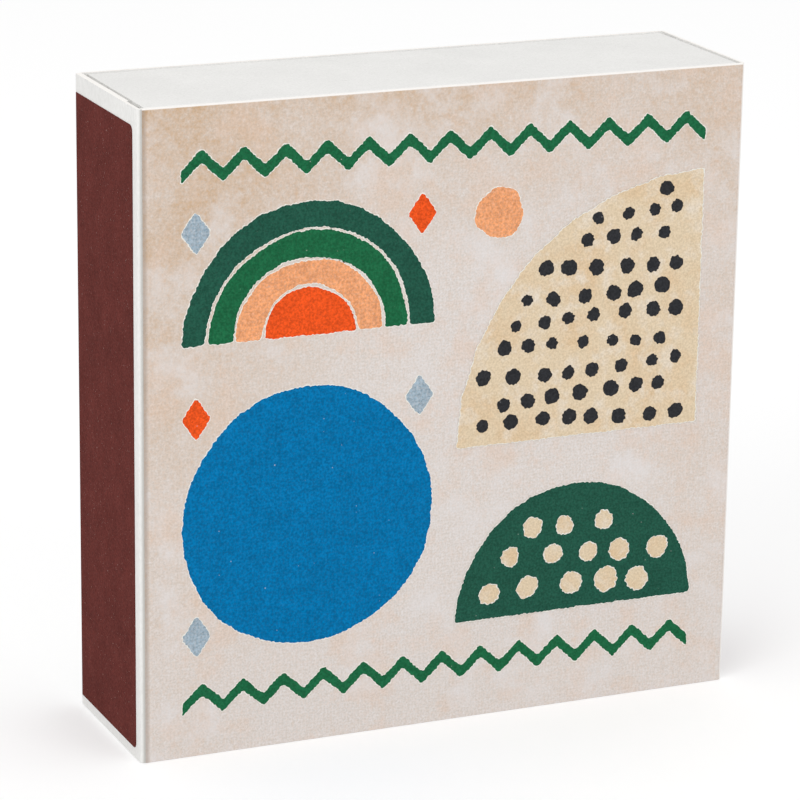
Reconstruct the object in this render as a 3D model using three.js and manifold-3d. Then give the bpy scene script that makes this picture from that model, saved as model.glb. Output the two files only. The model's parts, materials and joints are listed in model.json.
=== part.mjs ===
// A square sliding matchbox standing on one end: a folded card sleeve with a striking
// strip on each side, a folded card tray that slides up out of it, the matches that the
// tray holds and the print on the front. Millimetres, +Z up along the slide. The printed
// front faces -Y, and the origin is at the middle of the end that the box stands on.

import * as THREE from 'three';
import { mergeVertices } from 'three/addons/utils/BufferGeometryUtils.js';
import Module from 'manifold-3d';

// Sleeve: one card strip folded round and glued to itself inside its left wall
const SLEEVE_WIDTH = 105;
const SLEEVE_DEPTH = 29.3;
const SLEEVE_HEIGHT = 107;
const SLEEVE_CARD = 0.45;
const SLEEVE_FOLD_RADIUS = 0.25;
const GLUE_FLAP_CLEARANCE = 6;
const FREE_EDGE_LAP = 0.35;

// Tray: one die-cut card with its ends rolled over the dust flaps
const TRAY_CARD = 0.45;
const TRAY_CLEARANCE = 0.3;
const TRAY_END_RECESS = 0.1;
const TRAY_FOLD_RADIUS = 0.2;
const DUST_FLAP_LENGTH = 24;
const DUST_FLAP_RELIEF = 4;
const DUST_FLAP_RIM_GAP = 1.2;
const DUST_FLAP_TAPER = 2;
const END_PANEL_BASE_INSET = 0.5;
const END_PANEL_RIM_INSET = 0.3;

// Striking strips, printed on the two narrow sides
const STRIKER_THICKNESS = 0.1;
const STRIKER_FRONT_MARGIN = 2.2;
const STRIKER_BACK_MARGIN = 0.3;
const STRIKER_FOOT_MARGIN = 1.7;
const STRIKER_TOP_MARGIN = 3;
const STRIKER_CORNER_RADIUS = 1;

// Matches: splints with a dipped head, heads up
const SPLINT_WIDTH = 2.2;
const HEAD_DIAMETER = 3.2;
const HEAD_LENGTH = 5.6;
const HEAD_NECK_DIAMETER = 2.7;
const HEAD_TIP_DIAMETER = 2.2;
const HEAD_FULL_FROM = 1.7;
const HEAD_FULL_TO = 3.4;
const HEAD_TIP_HEIGHT = 5;
const MATCH_END_PLAY = 4.6;
const MATCH_CLEARANCE = 0.1;
const MATCH_SIDE_CLEARANCE = 0.6;
const BED_LAYERS = 4;
const LOOSE_MATCHES = 16;
const LOOSE_MATCH_TURN = 0.45;
const LOOSE_MATCH_SHIFT = 0.7;
const BED_HEAD_OVERLAP = 0.03;

// Print: every colour is a thin field, and one tier of ink lies on another
const INK_THICKNESS = 0.06;
const PRINT_TIERS = 3;
const PRINT_FOLD_MARGIN = 0.1;
const PRINT_WRAP = 0.3;
const PRINT_MARGIN = 7;
const MOTIF_GAP = 4.4;
const ZIGZAG_HEIGHT = 5.4;
const ZIGZAG_STROKE = 2.1;
const ZIGZAG_PITCH = 7;
const ARCH_BAND = 4.6;
const ARCH_BAND_GAP = 0.5;
const INK_DOT_RADIUS = 1.4;
const INK_DOT_PITCH = 4.9;
const INK_DOT_MARGIN = 2.2;
const SAND_DOT_RADIUS = 2.1;
const SAND_DOT_PITCH = 6.8;
const SAND_DOT_MARGIN = 2.9;
const DOT_SHIFT = 0.12;
const DOT_SIZE_SPREAD = 0.12;
const UNDERLAY_INSET = 0.5;
const DIAMOND_WIDTH = 5;
const DIAMOND_HEIGHT = 7;
const SUN_RADIUS = 4.2;
const SUN_SIDE_GAP = 2.5;
const SUN_TOP_GAP = 0.4;
const HAND_CUT = 0.2;

// Derived places of the sleeve
const printStack = PRINT_TIERS * INK_THICKNESS;
const sleeveLeft = -SLEEVE_WIDTH / 2;
const sleeveRight = SLEEVE_WIDTH / 2;
const sleeveBack = (SLEEVE_DEPTH + printStack) / 2;
const sleeveFront = sleeveBack - SLEEVE_DEPTH;
const sleeveOuterRadius = SLEEVE_FOLD_RADIUS + SLEEVE_CARD;
const freeEdgeY = sleeveBack - sleeveOuterRadius + FREE_EDGE_LAP;

// Derived places of the tray: it clears the doubled left wall and the three single ones
const trayLeft = sleeveLeft + 2 * SLEEVE_CARD + TRAY_CLEARANCE;
const trayRight = sleeveRight - SLEEVE_CARD - TRAY_CLEARANCE;
const trayFront = sleeveFront + SLEEVE_CARD + TRAY_CLEARANCE;
const trayBack = sleeveBack - SLEEVE_CARD - TRAY_CLEARANCE;
const trayLength = SLEEVE_HEIGHT - TRAY_END_RECESS;
const trayMiddle = (trayLeft + trayRight) / 2;
const trayMiddleY = (trayFront + trayBack) / 2;
const trayFloorY = trayBack - TRAY_CARD;
const trayEndThickness = 3 * TRAY_CARD;

// Derived places of the print: two columns of motifs between two zigzag bands. A column
// holds one motif of full size and one of half its height.
const printLeft = sleeveLeft + PRINT_MARGIN;
const printRight = sleeveRight - PRINT_MARGIN;
const motifFoot = PRINT_MARGIN + ZIGZAG_HEIGHT + MOTIF_GAP;
const motifTop = SLEEVE_HEIGHT - motifFoot;
const columnWidth = (printRight - printLeft - MOTIF_GAP) / 2;
const columnHeight = motifTop - motifFoot;
const motifSize = Math.min(columnWidth, (columnHeight - MOTIF_GAP) / 1.5);
const leftColumnX = printLeft + columnWidth / 2;
const rightColumnX = printRight - columnWidth / 2;

const FOLD_STEPS = 3;
const CORNER_STEPS = 4;
const ROUND_STEPS = 32;
const BED_HEAD_SIDES = 8;
const LOOSE_HEAD_SIDES = 10;
const INK_DOT_SIDES = 6;
const SAND_DOT_SIDES = 8;

const COLOURS = {
  cardWhite: 0xf1f0ec,
  trayWhite: 0xebebe6,
  striker: 0x6b3432,
  splint: 0xe3c797,
  head: 0x8a2f28,
  ground: 0xded0c0,
  blue: 0x0c6bae,
  darkGreen: 0x21503e,
  midGreen: 0x2a6e49,
  sand: 0xe1c396,
  ink: 0x302d30,
  orange: 0xeb5a22,
  peach: 0xf0a26e,
  dustyBlue: 0x96aab9,
};

const AXIS_X = new THREE.Vector3(1, 0, 0);
const AXIS_Y = new THREE.Vector3(0, 1, 0);
const AXIS_Z = new THREE.Vector3(0, 0, 1);

const wasm = await Module();
wasm.setup();

const box = new THREE.Group();

function addMesh(parent, name, geometry, colour, roughness) {
  const material = new THREE.MeshStandardMaterial({ color: colour, roughness, metalness: 0 });
  const mesh = new THREE.Mesh(geometry, material);
  mesh.name = name;
  parent.add(mesh);
  return mesh;
}

// Points of an arc from one angle to another, in degrees, both ends included
function arc(centreU, centreV, radius, fromDegrees, toDegrees, steps) {
  const points = [];
  for (let step = 0; step <= steps; step += 1) {
    const degrees = fromDegrees + ((toDegrees - fromDegrees) * step) / steps;
    const angle = THREE.MathUtils.degToRad(degrees);
    points.push(new THREE.Vector2(
      centreU + radius * Math.cos(angle),
      centreV + radius * Math.sin(angle),
    ));
  }
  return points;
}

function extrude(outline, depth, holes = []) {
  const shape = new THREE.Shape(outline);
  shape.holes = holes.map((hole) => new THREE.Path(hole));
  return new THREE.ExtrudeGeometry(shape, { depth, bevelEnabled: false });
}

// An outline drawn in (Y, Z) and drawn out along X from a start
function extrudeAlongX(outline, from, to) {
  const geometry = extrude(outline, to - from);
  geometry.applyMatrix4(new THREE.Matrix4().makeBasis(AXIS_Y, AXIS_Z, AXIS_X));
  return geometry.translate(from, 0, 0);
}

// An outline drawn in (Z, X) and drawn out along Y from a start
function extrudeAlongY(outline, from, to) {
  const geometry = extrude(outline, to - from);
  geometry.applyMatrix4(new THREE.Matrix4().makeBasis(AXIS_Z, AXIS_X, AXIS_Y));
  return geometry.translate(0, from, 0);
}

// An outline drawn in (X, Y) and drawn out along Z from a start
function extrudeAlongZ(outline, from, to, holes = []) {
  return extrude(outline, to - from, holes).translate(0, 0, from);
}

function toSolid(geometry) {
  const bare = geometry.clone();
  bare.deleteAttribute('normal');
  bare.deleteAttribute('uv');
  const merged = mergeVertices(bare);
  return new wasm.Manifold(new wasm.Mesh({
    numProp: 3,
    vertProperties: new Float32Array(merged.attributes.position.array),
    triVerts: new Uint32Array(merged.index.array),
  }));
}

function toGeometry(solid) {
  const mesh = solid.getMesh();
  const geometry = new THREE.BufferGeometry();
  geometry.setAttribute('position', new THREE.BufferAttribute(mesh.vertProperties, 3));
  geometry.setIndex(new THREE.BufferAttribute(mesh.triVerts, 1));
  geometry.computeVertexNormals();
  return geometry;
}

function join(geometries) {
  return geometries.map(toSolid).reduce((whole, solid) => whole.add(solid));
}

// The section of a card strip that follows a line of corners, with a rounded fold at
// each inner corner. The line runs along the middle of the card. Where two folds lie
// close together, each takes at most half of the stretch between them.
function cardSection(corners, thickness, innerRadius) {
  const half = thickness / 2;
  const leftSide = [];
  const rightSide = [];
  const addStation = (point, normal) => {
    leftSide.push(point.clone().addScaledVector(normal, half));
    rightSide.push(point.clone().addScaledVector(normal, -half));
  };
  const normalOf = (from, to) => {
    const along = to.clone().sub(from).normalize();
    return new THREE.Vector2(-along.y, along.x);
  };
  const last = corners.length - 1;
  addStation(corners[0], normalOf(corners[0], corners[1]));
  for (let index = 1; index < last; index += 1) {
    const before = corners[index].clone().sub(corners[index - 1]).normalize();
    const after = corners[index + 1].clone().sub(corners[index]).normalize();
    const turn = Math.atan2(before.cross(after), before.dot(after));
    const room = Math.min(
      corners[index].distanceTo(corners[index - 1]),
      corners[index].distanceTo(corners[index + 1]),
    ) / 2;
    const trim = Math.min((innerRadius + half) * Math.tan(Math.abs(turn) / 2), room);
    const foldRadius = trim / Math.tan(Math.abs(turn) / 2);
    const start = corners[index].clone().addScaledVector(before, -trim);
    const startNormal = new THREE.Vector2(-before.y, before.x);
    const centre = start.clone().addScaledVector(startNormal, foldRadius * Math.sign(turn));
    const spoke = start.clone().sub(centre);
    const origin = new THREE.Vector2(0, 0);
    for (let step = 0; step <= FOLD_STEPS; step += 1) {
      const angle = (turn * step) / FOLD_STEPS;
      addStation(
        centre.clone().add(spoke.clone().rotateAround(origin, angle)),
        startNormal.clone().rotateAround(origin, angle),
      );
    }
  }
  addStation(corners[last], normalOf(corners[last - 1], corners[last]));
  return leftSide.concat(rightSide.reverse());
}

// Sleeve section: the left panel's free edge ends beside the fold of the glue flap,
// which lies inside it and makes that wall double
function buildSleeve() {
  const outer = sleeveOuterRadius;
  const inner = SLEEVE_FOLD_RADIUS;
  const insideFront = sleeveFront + SLEEVE_CARD;
  const insideBack = sleeveBack - SLEEVE_CARD;
  const insideRight = sleeveRight - SLEEVE_CARD;
  const panelInside = sleeveLeft + SLEEVE_CARD;
  const flapInside = sleeveLeft + 2 * SLEEVE_CARD;
  const flapEnd = insideFront + GLUE_FLAP_CLEARANCE;
  const outline = [
    new THREE.Vector2(sleeveLeft, freeEdgeY),
    ...arc(sleeveLeft + outer, sleeveFront + outer, outer, 180, 270, FOLD_STEPS),
    ...arc(sleeveRight - outer, sleeveFront + outer, outer, 270, 360, FOLD_STEPS),
    ...arc(sleeveRight - outer, sleeveBack - outer, outer, 0, 90, FOLD_STEPS),
    ...arc(panelInside + outer, sleeveBack - outer, outer, 90, 180, FOLD_STEPS),
    new THREE.Vector2(panelInside, freeEdgeY),
  ];
  const hollow = [
    ...arc(panelInside + inner, insideFront + inner, inner, 180, 270, FOLD_STEPS),
    ...arc(insideRight - inner, insideFront + inner, inner, 270, 360, FOLD_STEPS),
    ...arc(insideRight - inner, insideBack - inner, inner, 0, 90, FOLD_STEPS),
    ...arc(flapInside + inner, insideBack - inner, inner, 90, 180, FOLD_STEPS),
    new THREE.Vector2(flapInside, flapEnd),
    new THREE.Vector2(panelInside, flapEnd),
  ];
  addMesh(box, 'sleeve', extrudeAlongZ(outline, 0, SLEEVE_HEIGHT, [hollow]), COLOURS.cardWhite, 0.7);
}

// Striking strip outline in (Y, Z), with rounded corners along its front edge
function strikerOutline(backY) {
  const frontY = sleeveFront + STRIKER_FRONT_MARGIN;
  const foot = STRIKER_FOOT_MARGIN;
  const top = SLEEVE_HEIGHT - STRIKER_TOP_MARGIN;
  const radius = STRIKER_CORNER_RADIUS;
  return [
    ...arc(frontY + radius, foot + radius, radius, 180, 270, CORNER_STEPS),
    new THREE.Vector2(backY, foot),
    new THREE.Vector2(backY, top),
    ...arc(frontY + radius, top - radius, radius, 90, 180, CORNER_STEPS),
  ];
}

function buildStrikers() {
  const leftStrip = extrudeAlongX(
    strikerOutline(freeEdgeY - STRIKER_BACK_MARGIN),
    sleeveLeft - STRIKER_THICKNESS,
    sleeveLeft,
  );
  const rightStrip = extrudeAlongX(
    strikerOutline(sleeveBack - sleeveOuterRadius - STRIKER_BACK_MARGIN),
    sleeveRight,
    sleeveRight + STRIKER_THICKNESS,
  );
  addMesh(box, 'striker_left', leftStrip, COLOURS.striker, 0.95);
  addMesh(box, 'striker_right', rightStrip, COLOURS.striker, 0.95);
}

// Tray floor and side walls: one U section along the whole length
function trayChannel() {
  const middle = TRAY_CARD / 2;
  const section = cardSection([
    new THREE.Vector2(trayLeft + middle, trayFront),
    new THREE.Vector2(trayLeft + middle, trayBack - middle),
    new THREE.Vector2(trayRight - middle, trayBack - middle),
    new THREE.Vector2(trayRight - middle, trayFront),
  ], TRAY_CARD, TRAY_FOLD_RADIUS);
  const endStart = 2 * TRAY_CARD;
  return extrudeAlongZ(section, endStart, trayLength - endStart);
}

// End panel in section: it rises from the floor's end, rolls over at the rim and comes
// back inside, with room for the dust flaps between its two layers
function endPanelSection() {
  const middle = TRAY_CARD / 2;
  const outerZ = trayLength - middle;
  const innerZ = trayLength - trayEndThickness + middle;
  const floorStart = trayLength - 2 * trayEndThickness;
  return cardSection([
    new THREE.Vector2(trayBack - middle, floorStart),
    new THREE.Vector2(trayBack - middle, outerZ),
    new THREE.Vector2(trayFront + middle, outerZ),
    new THREE.Vector2(trayFront + middle, innerZ),
    new THREE.Vector2(trayFloorY + middle, innerZ),
  ], TRAY_CARD, TRAY_FOLD_RADIUS);
}

// The end panel seen from the end: its sides curve in towards the floor, so that the
// card can be folded at the corners
function endPanelOutline() {
  const rimLeft = trayLeft + END_PANEL_RIM_INSET;
  const rimRight = trayRight - END_PANEL_RIM_INSET;
  const baseLeft = trayLeft + END_PANEL_BASE_INSET;
  const baseRight = trayRight - END_PANEL_BASE_INSET;
  const shape = new THREE.Shape();
  shape.moveTo(baseLeft, trayBack);
  shape.quadraticCurveTo(baseLeft, trayMiddleY, rimLeft, trayFront);
  shape.lineTo(rimRight, trayFront);
  shape.quadraticCurveTo(baseRight, trayMiddleY, baseRight, trayBack);
  return shape.getPoints(CORNER_STEPS);
}

// A dust flap turns in from the end of a side wall and lies between the panel's layers.
// It stops short of the floor, which leaves the small hole at each lower corner.
function dustFlap() {
  const middle = TRAY_CARD / 2;
  const flapZ = trayLength - 1.5 * TRAY_CARD;
  const section = cardSection([
    new THREE.Vector2(trayLength - 2 * trayEndThickness, trayLeft + middle),
    new THREE.Vector2(flapZ, trayLeft + middle),
    new THREE.Vector2(flapZ, trayLeft + DUST_FLAP_LENGTH),
  ], TRAY_CARD, TRAY_FOLD_RADIUS);
  const flap = extrudeAlongY(section, trayFront, trayBack);
  const nearFloor = trayFloorY - DUST_FLAP_RELIEF;
  const nearRim = trayFront + DUST_FLAP_RIM_GAP;
  const outline = [
    new THREE.Vector2(trayLeft, nearRim),
    new THREE.Vector2(trayLeft + DUST_FLAP_LENGTH, nearRim + DUST_FLAP_TAPER),
    new THREE.Vector2(trayLeft + DUST_FLAP_LENGTH, nearFloor - DUST_FLAP_TAPER),
    new THREE.Vector2(trayLeft, nearFloor),
  ];
  const cutter = extrudeAlongZ(outline, 0, trayLength);
  return toSolid(flap).intersect(toSolid(cutter));
}

function trayEnd() {
  const panel = toSolid(extrudeAlongX(endPanelSection(), trayLeft, trayRight));
  const outline = toSolid(extrudeAlongZ(endPanelOutline(), 0, trayLength));
  const flap = dustFlap();
  const otherFlap = flap.mirror([1, 0, 0]).translate([2 * trayMiddle, 0, 0]);
  return panel.intersect(outline).add(flap).add(otherFlap);
}

function buildTray() {
  const topEnd = trayEnd();
  const footEnd = topEnd.mirror([0, 0, 1]).translate([0, 0, trayLength]);
  const tray = toSolid(trayChannel()).add(topEnd).add(footEnd);
  addMesh(box, 'tray', toGeometry(tray), COLOURS.trayWhite, 0.7);
}

// Half of a match head's section, as (radius, height) from its neck to its tip
function headProfile() {
  return [
    [0, 0],
    [HEAD_NECK_DIAMETER, 0],
    [HEAD_DIAMETER, HEAD_FULL_FROM],
    [HEAD_DIAMETER, HEAD_FULL_TO],
    [HEAD_TIP_DIAMETER, HEAD_TIP_HEIGHT],
    [0, HEAD_LENGTH],
  ].map(([diameter, height]) => new THREE.Vector2(diameter / 2, height));
}

function headGeometry(sides) {
  const geometry = new THREE.LatheGeometry(headProfile(), sides);
  return geometry.rotateX(Math.PI / 2);
}

// A fixed scatter between -1 and 1, a different run of values for each kind
function scatter(index, kind) {
  return Math.sin(index * (1.7 + kind) + 2.3 * kind);
}

function buildMatches() {
  const floorZ = trayEndThickness + MATCH_CLEARANCE;
  const splintLength = trayLength - 2 * trayEndThickness - MATCH_END_PLAY - HEAD_LENGTH;
  const left = trayLeft + TRAY_CARD + MATCH_SIDE_CLEARANCE;
  const right = trayRight - TRAY_CARD - MATCH_SIDE_CLEARANCE;
  const backY = trayFloorY - MATCH_CLEARANCE;
  const bedTopY = backY - (BED_LAYERS - 0.5) * HEAD_DIAMETER;
  buildMatchBed(left, right, backY, bedTopY, floorZ, splintLength);
  const looseY = bedTopY - HEAD_DIAMETER - MATCH_CLEARANCE;
  buildLooseMatches(left, right, looseY, floorZ, splintLength);
}

// The lower layers lie packed, so their splints are one ridged solid and their heads
// another. The top row of each is formed match by match.
function buildMatchBed(left, right, backY, topRowY, floorZ, splintLength) {
  const perRow = Math.floor((right - left) / HEAD_DIAMETER);
  const pitch = (right - left) / perRow;
  const slabBack = backY - (HEAD_DIAMETER - SPLINT_WIDTH) / 2;
  const ridgeY = topRowY - SPLINT_WIDTH / 2;
  const grooveY = topRowY + SPLINT_WIDTH / 2;
  const section = [new THREE.Vector2(left, slabBack)];
  for (let index = 0; index < perRow; index += 1) {
    const centre = left + (index + 0.5) * pitch;
    section.push(
      new THREE.Vector2(centre - SPLINT_WIDTH / 2, grooveY),
      new THREE.Vector2(centre - SPLINT_WIDTH / 2, ridgeY),
      new THREE.Vector2(centre + SPLINT_WIDTH / 2, ridgeY),
      new THREE.Vector2(centre + SPLINT_WIDTH / 2, grooveY),
    );
  }
  section.push(new THREE.Vector2(right, slabBack));
  const splints = extrudeAlongZ(section, floorZ, floorZ + splintLength);
  addMesh(box, 'match_bed_splints', splints, COLOURS.splint, 0.8);

  const headZ = floorZ + splintLength;
  const headBlock = new THREE.BoxGeometry(
    right - left - pitch,
    backY - topRowY,
    HEAD_FULL_TO,
  ).translate((left + right) / 2, (backY + topRowY) / 2, headZ + HEAD_FULL_TO / 2);
  const heads = [headBlock];
  const widening = (pitch + BED_HEAD_OVERLAP) / HEAD_DIAMETER;
  for (let index = 0; index < perRow; index += 1) {
    const centre = left + (index + 0.5) * pitch;
    const head = headGeometry(BED_HEAD_SIDES).scale(widening, 1, 1);
    heads.push(head.translate(centre, topRowY, headZ));
  }
  addMesh(box, 'match_bed_heads', toGeometry(join(heads)), COLOURS.head, 0.9);
}

// The top layer is partly used: single matches lie across it, each turned a little
function buildLooseMatches(left, right, y, floorZ, splintLength) {
  const pitch = (right - left) / LOOSE_MATCHES;
  for (let index = 0; index < LOOSE_MATCHES; index += 1) {
    const number = String(index + 1).padStart(2, '0');
    const match = new THREE.Group();
    const turn = LOOSE_MATCH_TURN * scatter(index, 1);
    const shift = LOOSE_MATCH_SHIFT * scatter(index, 2);
    match.position.set(left + (index + 0.5) * pitch + shift, y, floorZ + splintLength / 2);
    match.rotation.y = THREE.MathUtils.degToRad(turn);
    const splint = new THREE.BoxGeometry(SPLINT_WIDTH, SPLINT_WIDTH, splintLength);
    const head = headGeometry(LOOSE_HEAD_SIDES).translate(0, 0, splintLength / 2);
    addMesh(match, `match_splint_${number}`, splint, COLOURS.splint, 0.8);
    addMesh(match, `match_head_${number}`, head, COLOURS.head, 0.9);
    box.add(match);
  }
}

// An arc with a slightly uneven radius, as if cut out by hand
function handCutArc(centre, radius, fromDegrees, toDegrees) {
  const share = Math.abs(toDegrees - fromDegrees) / 360;
  const points = arc(0, 0, 1, fromDegrees, toDegrees, Math.ceil(ROUND_STEPS * share));
  return points.map((point) => {
    const angle = point.angle();
    const uneven = Math.sin(3 * angle + radius) + Math.sin(7 * angle + 2 * radius) / 2;
    return point.multiplyScalar(radius + HAND_CUT * uneven).add(centre);
  });
}

function discOutline(centre, radius) {
  return handCutArc(centre, radius, 0, 360).slice(0, -1);
}

function halfDiscOutline(centre, radius) {
  return handCutArc(centre, radius, 0, 180);
}

// A quarter of a disc, with its square corner at the lower right
function quarterDiscOutline(corner, radius) {
  return [corner.clone(), ...handCutArc(corner, radius, 90, 180)];
}

function archOutline(centre, outerRadius, innerRadius) {
  const outerEdge = handCutArc(centre, outerRadius, 0, 180);
  const innerEdge = handCutArc(centre, innerRadius, 180, 0);
  return outerEdge.concat(innerEdge);
}

function diamondOutline(centre) {
  return [[0, -1], [1, 0], [0, 1], [-1, 0]].map(([across, up]) => new THREE.Vector2(
    centre.x + (across * DIAMOND_WIDTH) / 2,
    centre.y + (up * DIAMOND_HEIGHT) / 2,
  ));
}

function zigzagOutline(middleZ) {
  const halfTeeth = 2 * Math.round((printRight - printLeft) / ZIGZAG_PITCH);
  const rise = (ZIGZAG_HEIGHT - ZIGZAG_STROKE) / 2;
  const upper = [];
  const lower = [];
  for (let index = 0; index <= halfTeeth; index += 1) {
    const x = printLeft + ((printRight - printLeft) * index) / halfTeeth;
    const z = middleZ + (index % 2 === 0 ? -rise : rise);
    upper.push(new THREE.Vector2(x, z + ZIGZAG_STROKE / 2));
    lower.push(new THREE.Vector2(x, z - ZIGZAG_STROKE / 2));
  }
  return lower.concat(upper.reverse());
}

// Uneven dots on a staggered grid that starts at a corner, kept where they fit
function dotHoles(corner, radius, pitch, sides, fits) {
  const holes = [];
  const rowPitch = pitch * Math.sin(Math.PI / 3);
  const rows = Math.ceil((2 * motifSize) / rowPitch);
  const columns = Math.ceil((2 * motifSize) / pitch);
  for (let row = 0; row < rows; row += 1) {
    for (let column = 0; column < columns; column += 1) {
      const stagger = row % 2 === 0 ? 0 : pitch / 2;
      const index = row * columns + column;
      const centre = new THREE.Vector2(
        corner.x + column * pitch + stagger + DOT_SHIFT * pitch * scatter(index, 3),
        corner.y + row * rowPitch + DOT_SHIFT * pitch * scatter(index, 4),
      );
      if (fits(centre)) {
        const size = radius * (1 + DOT_SIZE_SPREAD * scatter(index, 5));
        const turn = 180 * scatter(index, 6);
        holes.push(arc(centre.x, centre.y, size, turn, turn + 360, sides).slice(0, -1));
      }
    }
  }
  return holes;
}

// A field of ink on the front, in the given tier, counted from the card
function addInk(name, tier, outline, colour, holes = []) {
  const field = addMesh(box, name, extrude(outline, INK_THICKNESS, holes), colour, 0.85);
  field.rotation.x = Math.PI / 2;
  field.position.y = sleeveFront - tier * INK_THICKNESS;
}

// The ground colour covers the front and runs round its right-hand fold
function buildPrintGround() {
  const radius = sleeveOuterRadius;
  const foldX = sleeveRight - radius;
  const foldY = sleeveFront + radius;
  const startX = sleeveLeft + radius + PRINT_FOLD_MARGIN;
  const section = [
    new THREE.Vector2(startX, sleeveFront),
    new THREE.Vector2(startX, sleeveFront - INK_THICKNESS),
    ...arc(foldX, foldY, radius + INK_THICKNESS, 270, 360, FOLD_STEPS),
    new THREE.Vector2(sleeveRight + INK_THICKNESS, foldY + PRINT_WRAP),
    new THREE.Vector2(sleeveRight, foldY + PRINT_WRAP),
    ...arc(foldX, foldY, radius, 360, 270, FOLD_STEPS),
  ];
  addMesh(box, 'print_ground', extrudeAlongZ(section, 0, SLEEVE_HEIGHT), COLOURS.ground, 0.85);
}

// Left column: a large plain disc below a set of nested arches
function buildLeftMotifs() {
  const radius = motifSize / 2;
  const disc = new THREE.Vector2(leftColumnX, motifFoot + radius);
  addInk('print_disc_blue', 1, discOutline(disc, radius), COLOURS.blue);

  const arches = new THREE.Vector2(leftColumnX, motifTop - radius);
  const bands = [
    ['print_arch_dark_green', COLOURS.darkGreen],
    ['print_arch_mid_green', COLOURS.midGreen],
    ['print_arch_peach', COLOURS.peach],
  ];
  bands.forEach(([name, colour], index) => {
    const outerRadius = radius - index * ARCH_BAND;
    const innerRadius = outerRadius - ARCH_BAND + ARCH_BAND_GAP;
    addInk(name, 1, archOutline(arches, outerRadius, innerRadius), colour);
  });
  const coreRadius = radius - bands.length * ARCH_BAND;
  addInk('print_arch_orange', 1, halfDiscOutline(arches, coreRadius), COLOURS.orange);
}

// A half disc with sand-coloured dots: they are the sand field below, seen through holes
function buildDottedDome() {
  const radius = motifSize / 2;
  const centre = new THREE.Vector2(rightColumnX, motifFoot);
  const reach = radius - SAND_DOT_MARGIN;
  const base = centre.y + SAND_DOT_MARGIN;
  const fits = (dot) => dot.distanceTo(centre) < reach && dot.y >= base;
  const start = new THREE.Vector2(centre.x - radius, base + DOT_SHIFT * SAND_DOT_PITCH);
  const holes = dotHoles(start, SAND_DOT_RADIUS, SAND_DOT_PITCH, SAND_DOT_SIDES, fits);
  const underlay = centre.clone().add(new THREE.Vector2(0, UNDERLAY_INSET));
  const underlayRadius = radius - 2 * UNDERLAY_INSET;
  addInk('print_dome_sand', 1, halfDiscOutline(underlay, underlayRadius), COLOURS.sand);
  addInk('print_dome_green', 2, halfDiscOutline(centre, radius), COLOURS.darkGreen, holes);
}

// A quarter disc with dark dots, made the same way
function buildDottedQuarter() {
  const corner = new THREE.Vector2(rightColumnX + motifSize / 2, motifTop - motifSize);
  const reach = motifSize - INK_DOT_MARGIN;
  const side = corner.x - INK_DOT_MARGIN;
  const base = corner.y + INK_DOT_MARGIN;
  const fits = (dot) => dot.distanceTo(corner) < reach && dot.x <= side && dot.y >= base;
  const start = new THREE.Vector2(corner.x - motifSize, base + DOT_SHIFT * INK_DOT_PITCH);
  const holes = dotHoles(start, INK_DOT_RADIUS, INK_DOT_PITCH, INK_DOT_SIDES, fits);
  const underlay = corner.clone().add(new THREE.Vector2(-UNDERLAY_INSET, UNDERLAY_INSET));
  const underlayRadius = motifSize - 2 * UNDERLAY_INSET;
  addInk('print_quarter_dark', 1, quarterDiscOutline(underlay, underlayRadius), COLOURS.ink);
  addInk('print_quarter_sand', 2, quarterDiscOutline(corner, motifSize), COLOURS.sand, holes);
}

// Small motifs in the corners that the round ones leave free
function buildSmallMotifs() {
  const leftX = leftColumnX - (motifSize - DIAMOND_WIDTH) / 2;
  const rightX = leftColumnX + (motifSize - DIAMOND_WIDTH) / 2;
  const footZ = motifFoot + DIAMOND_HEIGHT / 2;
  const sideZ = motifFoot + motifSize - DIAMOND_HEIGHT / 2;
  const topZ = motifTop - DIAMOND_HEIGHT / 2;
  const diamonds = [
    ['print_diamond_dusty_foot', leftX, footZ, COLOURS.dustyBlue],
    ['print_diamond_dusty_side', rightX, sideZ, COLOURS.dustyBlue],
    ['print_diamond_dusty_top', leftX, topZ, COLOURS.dustyBlue],
    ['print_diamond_orange_side', leftX, sideZ, COLOURS.orange],
    ['print_diamond_orange_top', rightX, topZ, COLOURS.orange],
  ];
  diamonds.forEach(([name, x, z, colour]) => {
    addInk(name, 1, diamondOutline(new THREE.Vector2(x, z)), colour);
  });
  const sun = new THREE.Vector2(
    rightColumnX - motifSize / 2 + SUN_SIDE_GAP + SUN_RADIUS,
    motifTop - SUN_TOP_GAP - SUN_RADIUS,
  );
  addInk('print_sun_peach', 1, discOutline(sun, SUN_RADIUS), COLOURS.peach);
}

function buildPrint() {
  const footBand = PRINT_MARGIN + ZIGZAG_HEIGHT / 2;
  buildPrintGround();
  addInk('print_zigzag_foot', 1, zigzagOutline(footBand), COLOURS.midGreen);
  addInk('print_zigzag_top', 1, zigzagOutline(SLEEVE_HEIGHT - footBand), COLOURS.midGreen);
  buildLeftMotifs();
  buildDottedDome();
  buildDottedQuarter();
  buildSmallMotifs();
}

buildSleeve();
buildStrikers();
buildTray();
buildMatches();
buildPrint();

export default box;
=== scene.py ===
"""The looks of a square sliding matchbox: white card, a mottled printed front with
rough-edged flat colours, maroon striking strips and wooden matches. Metres, +Z up.
Colours are linear, and the scales of noise are per metre."""

import json
import math
import random
from typing import NamedTuple

import bmesh
import bpy
from mathutils import Matrix, Vector, noise


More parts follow.
